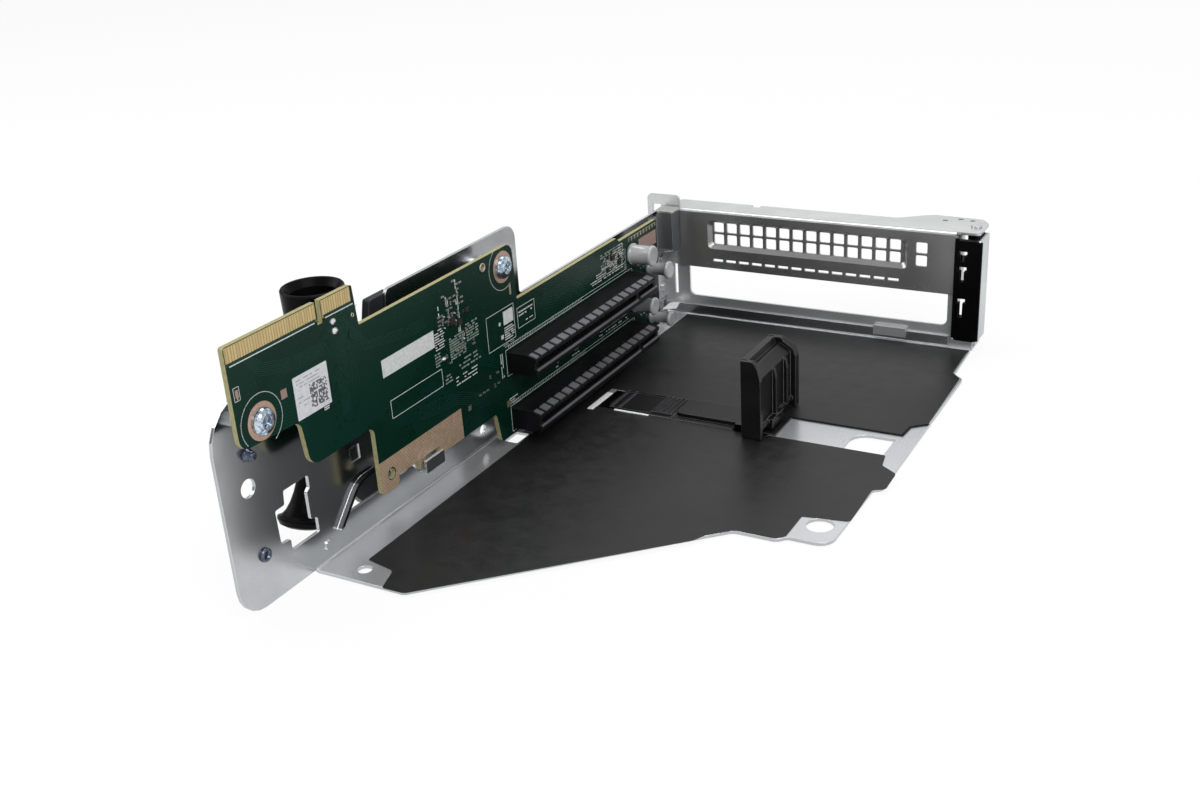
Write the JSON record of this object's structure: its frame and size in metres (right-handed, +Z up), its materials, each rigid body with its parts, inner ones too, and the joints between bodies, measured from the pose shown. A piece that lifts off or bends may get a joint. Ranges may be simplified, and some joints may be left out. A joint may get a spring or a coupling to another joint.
{
  "type": "riser cage bracket",
  "caption": "Folded steel cage that carries a riser board with keyed card slots, a vented rear filler, a hinged card latch and a sliding card holder.",
  "frame": {"origin": "on the underside of the tray, below the component face of the riser board at the front end of the card slots", "axes": "+X from the riser board towards the cards, +Y from the front of the slots towards the rear wall, +Z up from the tray"},
  "size_m": [0.159, 0.2822, 0.0822],
  "materials": {
    "cage_steel": "zinc-plated sheet, satin",
    "rear_steel": "zinc-plated sheet, satin",
    "guide_steel": "dark plated sheet, satin",
    "cap_steel": "bright plated sheet, satin",
    "rivet_steel": "plated, semi-bright",
    "filler_steel": "dark plated sheet, satin",
    "board_green": "green solder mask over glass-fibre laminate, semi-gloss",
    "contact_gold": "gold-plated, semi-bright",
    "strip_copper": "bare copper-coloured plating, satin",
    "screw_steel": "bright zinc plating",
    "standoff_steel": "plated, satin",
    "chip_black": "moulded, matte",
    "capacitor_tan": "ceramic, matte",
    "label_white": "paper, matte",
    "slot_black": "moulded, satin",
    "post_white": "moulded, satin",
    "film_black": "plastic film, satin",
    "holder_black": "moulded, satin",
    "latch_black": "moulded, satin",
    "cover_steel": "plated, satin",
    "grip_black": "moulded, satin"
  },
  "bodies": {
    "cage": {"cage_sheet": "cage_steel", "rear_wall": "rear_steel", "tongue_guide": "guide_steel", "guide_cap": "cap_steel", "corner_rivets": "rivet_steel", "filler_bracket": "filler_steel", "riser_board": "board_green", "edge_contacts_front": "contact_gold", "edge_contacts_back": "contact_gold", "ground_strip": "strip_copper", "screw_rings": "strip_copper", "board_screws": "screw_steel", "board_standoffs": "standoff_steel", "board_chips": "chip_black", "board_capacitors": "capacitor_tan", "board_label": "label_white", "slot_1_housing": "slot_black", "slot_2_housing": "slot_black", "slot_1_contacts": "contact_gold", "slot_2_contacts": "contact_gold", "guide_posts_1": "post_white", "guide_posts_2": "post_white", "insulator": "film_black", "latch_pin": "rivet_steel", "lift_cup": "grip_black", "lift_plate": "grip_black", "lift_rivets": "rivet_steel", "clinch_nuts": "rivet_steel"},
    "latch": {"latch": "latch_black", "latch_cover": "cover_steel"},
    "holder": {"card_holder": "holder_black"}
  },
  "joints": [
    {"name": "latch_hinge", "type": "hinge", "parent": "cage", "child": "latch", "pos_m": [0.1175, 0.146, 0], "axis": [0, 0, 1], "range_deg": [0, 80]},
    {"name": "holder_slide", "type": "slide", "parent": "cage", "child": "holder", "axis": [1, 0, 0], "range_m": [0, 0.038]}
  ]
}
